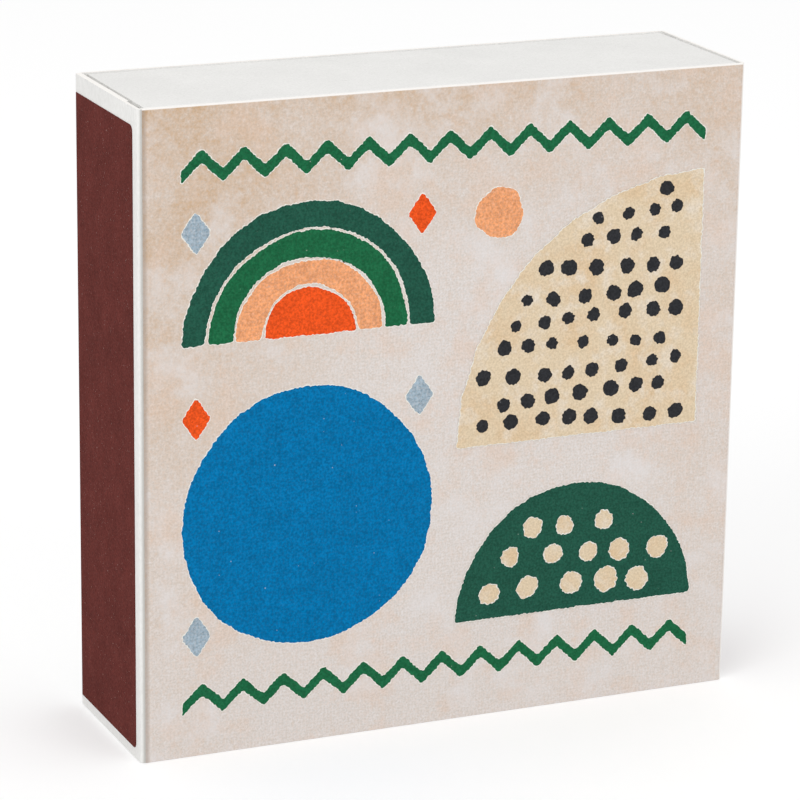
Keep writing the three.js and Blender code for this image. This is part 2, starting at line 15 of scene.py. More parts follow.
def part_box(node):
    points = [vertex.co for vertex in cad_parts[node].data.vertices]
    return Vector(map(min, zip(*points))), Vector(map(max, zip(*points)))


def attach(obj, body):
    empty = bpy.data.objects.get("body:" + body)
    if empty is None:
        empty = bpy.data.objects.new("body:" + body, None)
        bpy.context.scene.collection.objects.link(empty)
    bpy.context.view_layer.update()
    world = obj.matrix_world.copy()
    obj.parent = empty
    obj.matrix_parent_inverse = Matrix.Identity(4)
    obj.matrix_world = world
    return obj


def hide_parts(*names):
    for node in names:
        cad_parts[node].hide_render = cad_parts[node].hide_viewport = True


MM = 0.001


class Mottle(NamedTuple):
    """A noise field: its grain, the part of its range that is used, and what that becomes."""
    scale: float
    detail: float = 4.0
    roughness: float = 0.6
    low: float = 0.3
    high: float = 0.7
    to_low: float = 0.0
    to_high: float = 1.0


class Tooth(NamedTuple):
    """The relief of a surface: its grain, its strength and its depth."""
    scale: float
    strength: float
    depth: float
    roughness: float = 0.6


# Camera, solved from the corners of the box in the photograph
CAMERA_LENS = 172.6
CAMERA_DISTANCE = 0.6326
CAMERA_AZIMUTH = -23.65
CAMERA_ELEVATION = 16.51
CAMERA_ROLL = 0.8
CAMERA_TARGET = (-0.0017, 0.0, 0.0514)
CAMERA_NEAR = 0.01
CAMERA_FAR = 50.0

# Stage
FLOOR_SIZE = 6.0
FLOOR_DROP = 0.05 * MM
FLOOR_GREY = 0.78
FLOOR_GLOW = 0.3
WORLD_STRENGTH = 0.72
# Each lamp: its name, place, size and power
LAMPS = (
    ("key", (-1.4, -1.0, 0.9), 1.1, 9.5),
    ("fill", (0.7, -1.5, 0.8), 1.2, 5.0),
    ("top", (0.0, 0.1, 1.6), 1.2, 2.5),
)
SURFACE_SPECULAR = 0.03

# Card
CARD_WHITE = (0.895, 0.888, 0.87)
CORE_WHITE = (0.99, 0.965, 0.93)
TRAY_TINT = 0.98
CARD_CLOUD = Mottle(60.0, 5.0, 0.65, 0.35, 0.65)
CARD_CLOUD_TINTS = (0.96, 1.02)
CARD_FIBRE = Mottle(1800.0, 5.0, 0.7, to_high=0.35)
CARD_FIBRE_TINT = 0.95
CARD_GRAIN = Mottle(3000.0, 3.0, 0.8, 0.34, 0.66)
CARD_GRAIN_STRETCH = (1.0, 1.0, 0.35)
CARD_TROUGH = (0.94, 0.94, 0.935)
CARD_CREST = (1.05, 1.05, 1.05)
CARD_FLECK = (0.6, 0.57, 0.52)
CARD_FLECKS = Mottle(900.0, 2.0, 0.9, 0.69, 0.73, to_high=0.35)
CARD_SHEEN = Mottle(400.0, to_low=0.62, to_high=0.78)
CARD_TOOTH = Tooth(2500.0, 0.12, 0.05 * MM)
CUT_EDGE_FROM = 0.1 * MM
CUT_EDGE_FULL = 0.02 * MM

# Painted shade in the left front fold beside the print: a grey darkening of the card
CREASE_SHADE_GREY = (0.5, 0.49, 0.46)
CREASE_FROM = 0.55 * MM
CREASE_FULL = 0.2 * MM
CREASE_END = 0.1 * MM
CREASE_DEEP_FROM = 0.4 * MM
CREASE_DEEP_END = 0.9 * MM
CREASE_STRENGTH = 0.8

# The printed ground
GROUND_CREAM = (0.775, 0.735, 0.72)
GROUND_PEACH = (0.6, 0.395, 0.225)
GROUND_PINK = (0.78, 0.6, 0.49)
GROUND_BROWN = (0.3, 0.22, 0.17)
GROUND_LIGHT = (0.8, 0.77, 0.77)
GROUND_FLUSH = Mottle(110.0, 5.0, 0.7, 0.5, 0.64, to_high=0.45)
GROUND_WARM_SPECKS = Mottle(1500.0, 3.0, 0.8, 0.5, 0.66, to_high=0.4)
GROUND_DARK_SPECKS = Mottle(1300.0, 5.0, 0.85, 0.56, 0.7, to_high=0.14)
GROUND_PALE_CLOUDS = Mottle(95.0, 5.0, 0.65, 0.52, 0.68, to_high=0.55)
GROUND_WEAVE = 0.12
FOLD_SHADE = 0.45
FOLD_SHADE_FROM = 0.3 * MM
FOLD_SHADE_END = 0.8 * MM
WORN_EDGE_FROM = 0.55 * MM
WORN_EDGE_FULL = 0.3 * MM
RIM_FROM = 0.28 * MM
RIM_FULL = 0.16 * MM

# Peach stains on the ground: most at the sheet's upper and left edges, fewer at the right
STAIN_PATCHES = Mottle(45.0, 5.0, 0.62, 0.3, 0.62, 0.3, 0.85)
STAIN_GRAIN = Mottle(620.0, 6.0, 0.8, 0.36, 0.64, 0.45, 1.0)
STAIN_LEFT_FULL = 4 * MM
STAIN_LEFT_END = 40 * MM
STAIN_RIGHT_FROM = 20 * MM
STAIN_RIGHT_FULL = 2 * MM
STAIN_RIGHT_SHARE = 0.7
STAIN_TOP_FROM = 30 * MM
STAIN_TOP_FULL = 1 * MM
STAIN_FOOT = 10 * MM
STAIN_FOOT_SHARE = 0.15
STAIN_LEAST = 0.12
STAIN_MOST = 1.7
STAIN_FULL_AT = 0.7
STAIN_SPECKS_LEAST = 0.4
STAIN_SPECKS_MOST = 1.6

# The canvas that the ground was painted on
WEAVE_SCALE = 520.0
WEAVE_DISTORTION = 6.0
WEAVE_DETAIL = 3.0
WEAVE_DETAIL_SCALE = 2.5
WEAVE_LOW = 0.3
WEAVE_HIGH = 1.7

# Inks
INKS = {
    "print_blue": (0.0, 0.162, 0.39),
    "print_dark_green": (0.016, 0.09, 0.059),
    "print_mid_green": (0.012, 0.13, 0.052),
    "print_sand": (0.76, 0.62, 0.44),
    "print_black": (0.029, 0.03, 0.034),
    "print_orange": (0.82, 0.09, 0.014),
    "print_peach": (0.86, 0.35, 0.15),
    "print_dusty_blue": (0.3, 0.4, 0.48),
}
PAPER_SHOW = {"print_dusty_blue": 0.16, "print_peach": 0.07}
PAPER_SHOW_DARK = 0.004
PAPER_SHOW_SPOTS = 2.4
INK_GRAIN = Mottle(2700.0, 1.0, 0.6, 0.32, 0.68)
INK_GRAIN_TINTS = (0.8, 1.22)
INK_PATCHES = Mottle(300.0, 6.0, 0.8, 0.36, 0.64)
INK_PATCH_TROUGH = (0.92, 0.92, 0.92)
INK_PATCH_CREST = (1.08, 1.08, 1.08)
INK_FLECKS = Mottle(1900.0, 0.0, 0.5, 0.85, 0.88, to_high=0.4)
INK_GAPS = Mottle(1900.0, 4.0, 0.85, 0.5, 0.68)
INK_SHEEN = Mottle(500.0, to_low=0.6, to_high=0.8)
PAPER_GRAIN = Mottle(3000.0, 1.0, 0.6, 0.32, 0.68)
PAPER_SHEEN = Mottle(500.0, to_low=0.66, to_high=0.82)
PRINT_TOOTH = Tooth(2600.0, 0.2, 0.06 * MM)
GRAIN_TROUGH = (0.895, 0.88, 0.85)
GRAIN_CREST = (1.075, 1.085, 1.105)
SAND_WARM = (0.74, 0.55, 0.35)
SAND_PALE = (0.81, 0.72, 0.61)
SAND_CLOUDS = Mottle(170.0, 6.0, 0.7, 0.44, 0.66, to_high=0.9)
SAND_WASH = Mottle(260.0, 6.0, 0.7, 0.5, 0.66, to_high=0.75)

# Striking coat
STRIKER_MAROON = (0.138, 0.034, 0.029)
STRIKER_TONE = Mottle(220.0)
STRIKER_TONE_TINTS = (0.88, 1.12)
STRIKER_GRIT = Mottle(2600.0, 3.0, 0.85, 0.35, 0.65)
STRIKER_GRIT_TROUGH = (0.72, 0.72, 0.72)
STRIKER_GRIT_CREST = (1.2, 1.2, 1.2)
STRIKER_SPECKS = Mottle(2100.0, 2.0, 0.9, 0.685, 0.72, to_high=0.6)
STRIKER_SPECK = (0.5, 0.36, 0.33)
STRIKER_SHEEN = Mottle(900.0, to_low=0.75, to_high=0.95)
STRIKER_TOOTH = Tooth(2600.0, 0.5, 0.08 * MM, 0.8)

# Match wood and heads
SPLINT_WOOD = (0.78, 0.58, 0.36)
WOOD_STRETCH = (1.0, 1.0, 0.035)
WOOD_GRAIN = Mottle(1500.0, 5.0, 0.6, 0.32, 0.68)
WOOD_GRAIN_TINTS = (0.86, 1.08)
WOOD_BATCH = Mottle(230.0, 1.0, 0.5, 0.35, 0.65, to_high=0.35)
WOOD_BATCH_TINT = 0.8
WOOD_SHEEN = (0.62, 0.8)
WOOD_RELIEF = 0.25
WOOD_DEPTH = 0.06 * MM
HEAD_RED = (0.2, 0.025, 0.018)
HEAD_TONE = Mottle(500.0)
HEAD_TONE_TINTS = (0.75, 1.3)
HEAD_SHEEN = Mottle(1500.0, to_low=0.55, to_high=0.8)
HEAD_TOOTH = Tooth(1700.0, 0.6, 0.15 * MM, 0.7)

# Hand-printed edges
FRONT_TOLERANCE = 0.005 * MM
KEY_DIGITS = 7
CORNER_CUT = 0.25
OUTLINE_STEP = 1.3 * MM
EDGE_STEP = 0.16 * MM
EDGE_COARSE = 0.16 * MM
EDGE_FINE = 0.19 * MM
DOT_COARSE = 0.34 * MM
DOT_FINE = 0.27 * MM
COARSE_GRAIN = 420.0
FINE_GRAIN = 2300.0
SEED_STEP = 7.3

# The line of bare paper round a colour
FRINGE_PALE = (0.86, 0.84, 0.78)
FRINGE_FIBRE = Mottle(2600.0, 4.0, 0.8, 0.34, 0.66)
FRINGE_TINTS = (0.92, 1.06)
FRINGE_SHEEN = Mottle(500.0, to_low=0.7, to_high=0.85)
FRINGE_TOOTH = Tooth(2600.0, 0.3, 0.06 * MM)
FRINGE_WIDTH = 0.13 * MM
FRINGE_LEAST = 0.15
FRINGE_WANDER = 1.6
FRINGE_SEED = 5.0
FRINGE_DROP = 0.015 * MM
FRINGED_HOLES = ("print_dome_green",)

# Matches
HEAD_DIAMETER = 3.2 * MM
SPLINT_WIDTH = 2.2 * MM
BED_LAYERS = 4
BED_SEED = 11
BED_SEED_RANGE = 50.0
BED_LEAST_SIZE = 0.93
BED_LEAST_HEIGHT = 0.9
BED_HEAD_SIDES = 14
BED_HEAD_RINGS = 9
LOOSE_HEAD_SIDES = 24
LOOSE_HEAD_RINGS = 14
LOOSE_SEED_STEP = 3.1
SPLINT_CHAMFER = 0.14 * MM
SPLINT_SWAY = 0.3 * MM
SPLINT_STEPS = 8
SPLINT_DEEP_SEED = 9.0
HEAD_FULLEST = 0.45
HEAD_NECK = 0.74
HEAD_TIP_POWER = 2.4
HEAD_SQUARENESS = 0.8
HEAD_CORNER_REACH = 1.25
HEAD_LUMPS = 0.05
HEAD_LUMP_RATE = 3.0
SHARP_DEGREES = 32


# Nodes

class Shader:
    """A material's node tree, with short ways to add and join nodes."""

    def __init__(self, name):
        self.material = bpy.data.materials.new(name)
        self.material.use_nodes = True
        self.tree = self.material.node_tree
        self.bsdf = self.tree.nodes["Principled BSDF"]
        self.bsdf.inputs["Specular IOR Level"].default_value = SURFACE_SPECULAR

    def node(self, kind, **settings):
        made = self.tree.nodes.new(kind)
        for key, value in settings.items():
            setattr(made, key, value)
        return made

    def link(self, output, target):
        self.tree.links.new(output, target)

    def place(self):
        """Object coordinates: the object's own frame, in metres."""
        return self.node("ShaderNodeTexCoord").outputs["Object"]

    def axes(self):
        """The place, split into its three coordinates."""
        split = self.node("ShaderNodeSeparateXYZ")
        self.link(self.place(), split.inputs["Vector"])
        return split.outputs

    def stretched(self, scale):
        mapping = self.node("ShaderNodeMapping")
        mapping.inputs["Scale"].default_value = scale
        self.link(self.place(), mapping.inputs["Vector"])
        return mapping.outputs["Vector"]

    def noise(self, scale, detail=4.0, roughness=0.6, vector=None):
        made = self.node("ShaderNodeTexNoise")
        made.inputs["Scale"].default_value = scale
        made.inputs["Detail"].default_value = detail
        made.inputs["Roughness"].default_value = roughness
        self.link(vector or self.place(), made.inputs["Vector"])
        return made.outputs["Fac"]

    def spread(self, value, low, high, to_low=0.0, to_high=1.0):
        made = self.node("ShaderNodeMapRange", clamp=True)
        made.inputs["From Min"].default_value = low
        made.inputs["From Max"].default_value = high
        made.inputs["To Min"].default_value = to_low
        made.inputs["To Max"].default_value = to_high
        self.link(value, made.inputs["Value"])
        return made.outputs["Result"]

    def mottle(self, look, vector=None):
        """The noise field that a Mottle describes."""
        field = self.noise(look.scale, look.detail, look.roughness, vector)
        return self.spread(field, look.low, look.high, look.to_low, look.to_high)

    def math(self, operation, first, second):
        made = self.node("ShaderNodeMath", operation=operation)
        for socket, value in zip(made.inputs, (first, second)):
            if isinstance(value, (int, float)):
                socket.default_value = value
            else:
                self.link(value, socket)
        return made.outputs["Value"]

    def mix(self, factor, first, second, blend="MIX"):
        made = self.node("ShaderNodeMix", data_type="RGBA", blend_type=blend)
        for key, value in (("Factor", factor), ("A", first), ("B", second)):
            socket = next(s for s in made.inputs if s.name == key and self._fits(s, key))
            if isinstance(value, tuple):
                socket.default_value = (*value, 1.0)
            elif isinstance(value, float):
                socket.default_value = value
            else:
                self.link(value, socket)
        return next(s for s in made.outputs if s.type == "RGBA")

    @staticmethod
    def _fits(socket, key):
        return socket.type == ("VALUE" if key == "Factor" else "RGBA")

    def toned(self, factor, colour, tints):
        """A colour that goes from its darker to its lighter tint."""
        return self.mix(factor, tinted(colour, tints[0]), tinted(colour, tints[1]))

    def multiplied(self, base, factor, trough, crest):
        """The base, darkened in the troughs of a field and lightened on its crests."""
        return self.mix(1.0, base, self.mix(factor, trough, crest), "MULTIPLY")

    def bump(self, height, strength, distance):
        made = self.node("ShaderNodeBump")
        made.inputs["Strength"].default_value = strength
        made.inputs["Distance"].default_value = distance
        self.link(height, made.inputs["Height"])
        self.link(made.outputs["Normal"], self.bsdf.inputs["Normal"])

    def tooth(self, look):
        """The relief that a Tooth describes."""
        self.bump(self.noise(look.scale, roughness=look.roughness), look.strength, look.depth)

    def colour(self, output):
        self.link(output, self.bsdf.inputs["Base Color"])

    def roughness(self, output):
        self.link(output, self.bsdf.inputs["Roughness"])


def tinted(colour, factor):
    return tuple(min(1.0, channel * factor) for channel in colour)


def crease_painted_shade(shader, tone):
    """Painted shade: the left front fold is darkened grey beside the print."""
    low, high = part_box("print_ground")
    axes = shader.axes()
    across = shader.spread(axes["X"], low.x - CREASE_FROM, low.x - CREASE_FULL)
    front = shader.spread(axes["Y"], low.y + CREASE_DEEP_FROM, low.y + CREASE_DEEP_END, 1.0, 0.0)
    left = shader.spread(axes["X"], low.x, low.x + CREASE_END, 1.0, 0.0)
    near = shader.math("MULTIPLY", shader.math("MULTIPLY", across, front), left)
    return shader.mix(shader.math("MULTIPLY", near, CREASE_STRENGTH), tone, CREASE_SHADE_GREY)


def cut_edge(shader, tone):
    """The board's brighter core shows along the sleeve's cut upper edge."""
    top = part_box("sleeve")[1].z
    at_edge = shader.spread(shader.axes()["Z"], top - CUT_EDGE_FROM, top - CUT_EDGE_FULL)
    return shader.mix(at_edge, tone, CORE_WHITE)


def card_material(name, colour, crease_shaded=False):
    """White board: faint cloudy tone, short fibres and a fine tooth."""
    shader = Shader(name)
    board = shader.toned(shader.mottle(CARD_CLOUD), colour, CARD_CLOUD_TINTS)
    board = shader.mix(shader.mottle(CARD_FIBRE), board, tinted(colour, CARD_FIBRE_TINT))
    grain = shader.mottle(CARD_GRAIN, shader.stretched(CARD_GRAIN_STRETCH))
    board = shader.multiplied(board, grain, CARD_TROUGH, CARD_CREST)
    board = shader.mix(shader.mottle(CARD_FLECKS), board, CARD_FLECK)
    # The sleeve gets painted shade in its left front fold, then its pale cut edge.
    if crease_shaded:
        board = cut_edge(shader, crease_painted_shade(shader, board))
    shader.colour(board)
    shader.roughness(shader.mottle(CARD_SHEEN))
    shader.tooth(CARD_TOOTH)
    return shader.material


def woven(shader, amount):
    """The canvas that the ground was painted on: crossed threads, uneven in strength."""
    threads = []
    for direction in ("X", "Z"):
        wave = shader.node("ShaderNodeTexWave", wave_type="BANDS", bands_direction=direction)
        wave.inputs["Scale"].default_value = WEAVE_SCALE
        wave.inputs["Distortion"].default_value = WEAVE_DISTORTION
        wave.inputs["Detail"].default_value = WEAVE_DETAIL
        wave.inputs["Detail Scale"].default_value = WEAVE_DETAIL_SCALE
        shader.link(shader.place(), wave.inputs["Vector"])
        threads.append(wave.outputs["Fac"])
    crossed = shader.math("ADD", threads[0], threads[1])
    return shader.spread(crossed, WEAVE_LOW, WEAVE_HIGH, 0.0, amount)


def stains(shader, axes, low, high):
    """Peach stains: broad patches that gather at the sheet's upper, left and right edges."""
    left = shader.spread(axes["X"], low.x + STAIN_LEFT_FULL, low.x + STAIN_LEFT_END, 1.0, 0.0)
    right = shader.spread(
        axes["X"], high.x - STAIN_RIGHT_FROM, high.x - STAIN_RIGHT_FULL, 0.0, STAIN_RIGHT_SHARE)
    top = shader.spread(axes["Z"], high.z - STAIN_TOP_FROM, high.z - STAIN_TOP_FULL)
    height = shader.spread(
        axes["Z"], low.z + STAIN_FOOT, high.z - STAIN_FOOT, STAIN_FOOT_SHARE, 1.0)
    sides = shader.math("MULTIPLY", shader.math("MAXIMUM", left, right), height)
    corner = shader.math("MULTIPLY", left, top)
    edge = shader.math("ADD", shader.math("MAXIMUM", sides, top), corner)
    clouds = shader.math("MULTIPLY", shader.mottle(STAIN_PATCHES), shader.mottle(STAIN_GRAIN))
    strength = shader.spread(edge, 0.0, 2.0, STAIN_LEAST, STAIN_MOST)
    return shader.math("MULTIPLY", clouds, strength)


def ground_material():
    """Cream ground on a canvas grain, mottled with peach stains near the sheet's edges."""
    shader = Shader("print_ground_ink")
    axes = shader.axes()
    low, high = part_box("print_ground")
    stained = stains(shader, axes, low, high)
    base = shader.mix(stained, GROUND_CREAM, GROUND_PEACH)
    base = shader.mix(shader.mottle(GROUND_FLUSH), base, GROUND_PINK)
    base = shader.multiplied(base, shader.mottle(PAPER_GRAIN), GRAIN_TROUGH, GRAIN_CREST)
    share = shader.spread(stained, 0.0, STAIN_FULL_AT, STAIN_SPECKS_LEAST, STAIN_SPECKS_MOST)
    warm = shader.math("MULTIPLY", shader.mottle(GROUND_WARM_SPECKS), share)
    base = shader.mix(warm, base, GROUND_PEACH)
    base = shader.mix(shader.mottle(GROUND_DARK_SPECKS), base, GROUND_BROWN)
    base = shader.mix(woven(shader, GROUND_WEAVE), base, GROUND_PEACH)
    base = shader.mix(shader.mottle(GROUND_PALE_CLOUDS), base, GROUND_LIGHT)
    fold = shader.spread(
        axes["X"], low.x + FOLD_SHADE_FROM, low.x + FOLD_SHADE_END, FOLD_SHADE, 0.0)
    base = shader.mix(fold, base, GROUND_BROWN)
    worn = shader.spread(axes["X"], high.x - WORN_EDGE_FROM, high.x - WORN_EDGE_FULL)
    base = shader.mix(worn, base, CORE_WHITE)
    rim = shader.spread(axes["Z"], high.z - RIM_FROM, high.z - RIM_FULL)
    shader.colour(shader.mix(rim, base, CORE_WHITE))
    shader.roughness(shader.mottle(PAPER_SHEEN))
    shader.tooth(PRINT_TOOTH)
    return shader.material


def ink_material(slot):
    """A flat ink, uneven in strength, with the tooth of the paper showing through."""
    shader = Shader(slot + "_ink")
    paper = PAPER_SHOW.get(slot, PAPER_SHOW_DARK)
    ink = shader.toned(shader.mottle(INK_GRAIN), INKS[slot], INK_GRAIN_TINTS)
    ink = shader.multiplied(ink, shader.mottle(INK_PATCHES), INK_PATCH_TROUGH, INK_PATCH_CREST)
    ink = shader.mix(shader.mottle(INK_FLECKS), ink, GROUND_CREAM)
    gaps = INK_GAPS._replace(to_high=PAPER_SHOW_SPOTS * paper)
    ink = shader.mix(shader.mottle(gaps), ink, GROUND_CREAM)
    shader.colour(shader.mix(woven(shader, paper), ink, GROUND_CREAM))
    shader.roughness(shader.mottle(INK_SHEEN))
    shader.tooth(PRINT_TOOTH)
    return shader.material


def sand_material():
    """The sand ink is cloudier than the rest, with warm stains."""
    shader = Shader("print_sand_ink")
    base = shader.mix(shader.mottle(SAND_CLOUDS), INKS["print_sand"], SAND_WARM)
    base = shader.mix(shader.mottle(SAND_WASH), base, SAND_PALE)
    shader.colour(shader.multiplied(base, shader.mottle(PAPER_GRAIN), GRAIN_TROUGH, GRAIN_CREST))
    shader.roughness(shader.mottle(PAPER_SHEEN))
    shader.tooth(PRINT_TOOTH)
    return shader.material


def fringe_material():
    """Bare paper at the torn edge of a colour."""
    shader = Shader("paper_fringe")
    shader.colour(shader.toned(shader.mottle(FRINGE_FIBRE), FRINGE_PALE, FRINGE_TINTS))
    shader.roughness(shader.mottle(FRINGE_SHEEN))
    shader.tooth(FRINGE_TOOTH)
    return shader.material


def striker_material():
    """A maroon coat full of fine grit, with a few pale specks."""
    shader = Shader("striking_coat")
    coat = shader.toned(shader.mottle(STRIKER_TONE), STRIKER_MAROON, STRIKER_TONE_TINTS)
    grit = shader.mottle(STRIKER_GRIT)
    coat = shader.multiplied(coat, grit, STRIKER_GRIT_TROUGH, STRIKER_GRIT_CREST)
    shader.colour(shader.mix(shader.mottle(STRIKER_SPECKS), coat, STRIKER_SPECK))
    shader.roughness(shader.mottle(STRIKER_SHEEN))
    shader.tooth(STRIKER_TOOTH)
    return shader.material


def wood_material():
    """Aspen splint, with grain along the match."""
    shader = Shader("splint_wood_grain")
    along = shader.stretched(WOOD_STRETCH)
    grain = shader.mottle(WOOD_GRAIN, along)
    base = shader.toned(grain, SPLINT_WOOD, WOOD_GRAIN_TINTS)
    batch = shader.mottle(WOOD_BATCH, along)
    shader.colour(shader.mix(batch, base, tinted(SPLINT_WOOD, WOOD_BATCH_TINT)))
    shader.roughness(shader.spread(grain, 0.0, 1.0, *WOOD_SHEEN))
    shader.bump(grain, WOOD_RELIEF, WOOD_DEPTH)
    return shader.material


def head_material():
    """Dipped head: dull, pitted and slightly uneven in colour."""
    shader = Shader("match_head_dip")
    shader.colour(shader.toned(shader.mottle(HEAD_TONE), HEAD_RED, HEAD_TONE_TINTS))
    shader.roughness(shader.mottle(HEAD_SHEEN))
    shader.tooth(HEAD_TOOTH)
    return shader.material


def set_material(piece, material):
    piece.data.materials.clear()
    piece.data.materials.append(material)


# Print pieces: each CAD colour field redrawn with a rough, hand-printed edge

def front_loops(mesh):
    """The outlines of a thin field's front face, as closed lists of (x, z)."""
    front_y = min(vertex.co.y for vertex in mesh.vertices)
    key = {}
    for vertex in mesh.vertices:
        if abs(vertex.co.y - front_y) < FRONT_TOLERANCE:
            key[vertex.index] = (round(vertex.co.x, KEY_DIGITS), round(vertex.co.z, KEY_DIGITS))
    sides = {}
    for polygon in mesh.polygons:
        ends = [key.get(index) for index in polygon.vertices]
        if None in ends:
            continue
        sides.update(dict.fromkeys(zip(ends, ends[1:] + ends[:1])))
    following = {start: end for start, end in sides if (end, start) not in sides}
    loops = []
    while following:
        start, point = following.popitem()
        loop = [start]
        while point != start:
            loop.append(point)
            point = following.pop(point)
        loops.append([Vector(place) for place in loop])
    return loops


def resampled(loop, step):
    """The same outline with points about a step apart, corners kept."""
    points = []
    for start, end in zip(loop, loop[1:] + loop[:1]):
        parts = max(1, round((end - start).length / step))
        points += [start.lerp(end, part / parts) for part in range(parts)]
    return points


def eased(loop):
    """Corner cutting: every side keeps its middle half."""
    points = []
    for start, end in zip(loop, loop[1:] + loop[:1]):
        points += [start.lerp(end, CORNER_CUT), start.lerp(end, 1.0 - CORNER_CUT)]
    return points


def normals(loop):
    """The direction to the right of travel at each point: out of a counterclockwise loop."""
    count = len(loop)
    found = []
    for index in range(count):
        along = loop[(index + 1) % count] - loop[index - 1]
        found.append(Vector((along.y, -along.x)).normalized())
    return found


def roughened(loop, coarse, fine, seed):
    """Moves each point across the outline by smooth noise, coarse and fine."""
    moved = []
    for point, normal in zip(loop, normals(loop)):
        broad = noise.noise(Vector((point.x * COARSE_GRAIN, point.y * COARSE_GRAIN, seed)))
        sharp = noise.noise(Vector((point.x * FINE_GRAIN, point.y * FINE_GRAIN, seed)))
        moved.append(point + normal * (coarse * broad + fine * sharp))
    return moved


def extent(loop):
    return max(point.x for point in loop) - min(point.x for point in loop)


def filled(loops, thickness):
    """A flat solid between an outline and its holes, in (x, z), centred on y = 0."""
    curve = bpy.data.curves.new("outline", "CURVE")
    curve.dimensions = "2D"
    curve.fill_mode = "BOTH"
    curve.extrude = thickness / 2
    for loop in loops:
        spline = curve.splines.new("POLY")
        spline.points.add(len(loop) - 1)
        for target, point in zip(spline.points, loop):
            target.co = (point.x, point.y, 0.0, 1.0)
        spline.use_cyclic_u = True
    shape = bpy.data.objects.new("outline", curve)
    bpy.context.scene.collection.objects.link(shape)
    bpy.context.view_layer.update()
    evaluated = shape.evaluated_get(bpy.context.evaluated_depsgraph_get())
    mesh = bpy.data.meshes.new_from_object(evaluated)
    bpy.data.objects.remove(shape)
    mesh.transform(Matrix.Rotation(math.radians(90), 4, "X"))
    return mesh


def add_fringe(made, loop, front, back):
    """A closed band of bare paper along an outline, of uneven width."""
    rows = []
    for point, normal in zip(loop, normals(loop)):
        place = Vector((point.x * FINE_GRAIN, point.y * FINE_GRAIN, FRINGE_SEED))
        share = max(FRINGE_LEAST, 1.0 + FRINGE_WANDER * noise.noise(place))
        outer = point + normal * FRINGE_WIDTH * share
        rows.append([
            made.verts.new((point.x, front, point.y)),
            made.verts.new((outer.x, front, outer.y)),
            made.verts.new((outer.x, back, outer.y)),
            made.verts.new((point.x, back, point.y)),
        ])
    for row, following in zip(rows, rows[1:] + rows[:1]):
        for side in range(4):
            other = (side + 1) % 4
            face = made.faces.new((row[side], following[side], following[other], row[other]))
            face.material_index = 1


def rough_field(node):
    """A thin piece over a CAD colour field: a rough edge with a pale paper fringe."""
    low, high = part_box(node)
    loops = front_loops(frame["nodes"][node].data)
    loops.sort(key=extent, reverse=True)
    edges = []
    for index, loop in enumerate(loops):
        coarse, fine = (DOT_COARSE, DOT_FINE) if index else (EDGE_COARSE, EDGE_FINE)
        smooth = resampled(eased(eased(resampled(loop, OUTLINE_STEP))), EDGE_STEP)
        edges.append(roughened(smooth, coarse, fine, SEED_STEP * index + len(node)))
    mesh = filled(edges, high.y - low.y)
    mesh.transform(Matrix.Translation((0.0, (low.y + high.y) / 2, 0.0)))
    made = bmesh.new()
    made.from_mesh(mesh)
    fringed = edges if node in FRINGED_HOLES else edges[:1]
    for edge in fringed:
        add_fringe(made, edge, low.y + FRINGE_DROP, high.y)
    bmesh.ops.recalc_face_normals(made, faces=made.faces)
    made.to_mesh(mesh)
    made.free()
    piece = bpy.data.objects.new(node + "_rough", mesh)
    bpy.context.scene.collection.objects.link(piece)
    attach(piece, "sleeve")
    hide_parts(node)
    return piece


# Matches

def head_radius(share):
    """The head's outline along its length: a neck, a full middle and a round tip."""
    if share < HEAD_FULLEST:
        return HEAD_NECK + (1.0 - HEAD_NECK) * math.sin(math.pi / 2 * share / HEAD_FULLEST)
    beyond = (share - HEAD_FULLEST) / (1.0 - HEAD_FULLEST)
    return math.sqrt(max(0.0, 1.0 - beyond ** HEAD_TIP_POWER))


def add_walls(made, rows):
    """The side faces between rings of points, each ring above the one before it."""
    sides = len(rows[0])
    for row, following in zip(rows, rows[1:]):
        for side in range(sides):
            other = (side + 1) % sides
            made.faces.new((row[side], row[other], following[other], following[side]))


def add_head(made, centre, radius, height, sides, rings, seed):
    """A dipped head on the end of a splint: square at its neck, round at its tip, lumpy."""
    rows = []
    for ring in range(rings):
        share = ring / rings
        squareness = HEAD_SQUARENESS * (1.0 - share) ** 2
        row = []
        for side in range(sides):
            angle = 2 * math.pi * side / sides
            across = math.cos(angle)
            deep = math.sin(angle)
            square = min(HEAD_CORNER_REACH, 1.0 / max(abs(across), abs(deep)))
            reach = radius * head_radius(share) * (1.0 - squareness + squareness * square)
            lump = noise.noise(Vector((across, deep, HEAD_LUMP_RATE * share + seed)))
            reach = min(radius, reach * (1.0 - HEAD_LUMPS + HEAD_LUMPS * lump))
            row.append(made.verts.new((
                centre.x + reach * across,
                centre.y + reach * deep,
                centre.z + share * height,
            )))
        rows.append(row)
    tip = made.verts.new((centre.x, centre.y, centre.z + height))
    made.faces.new(rows[0][::-1])
    add_walls(made, rows)
    for side in range(sides):
        made.faces.new((rows[-1][side], rows[-1][(side + 1) % sides], tip))


def add_splint(made, centre, width, bottom, top, seed):
    """A sawn splint: a chamfered square stick that wanders a little along its length."""
    half = width / 2
    chamfer = SPLINT_CHAMFER
    section = [
        (half - chamfer, -half), (half, -half + chamfer),
        (half, half - chamfer), (half - chamfer, half),
        (-half + chamfer, half), (-half, half - chamfer),
        (-half, -half + chamfer), (-half + chamfer, -half),
    ]
    rows = []
    for step in range(SPLINT_STEPS + 1):
        share = step / SPLINT_STEPS
        sway = SPLINT_SWAY * math.sin(math.pi * share)
        shift = Vector((
            sway * noise.noise(Vector((seed, share, 0.0))),
            sway * noise.noise(Vector((seed, share, SPLINT_DEEP_SEED))),
        ))
        rows.append([made.verts.new((
            centre.x + shift.x + across,
            centre.y + shift.y + deep,
            bottom + (top - bottom) * share,
        )) for across, deep in section])
    made.faces.new(rows[0][::-1])
    made.faces.new(rows[-1])
    add_walls(made, rows)


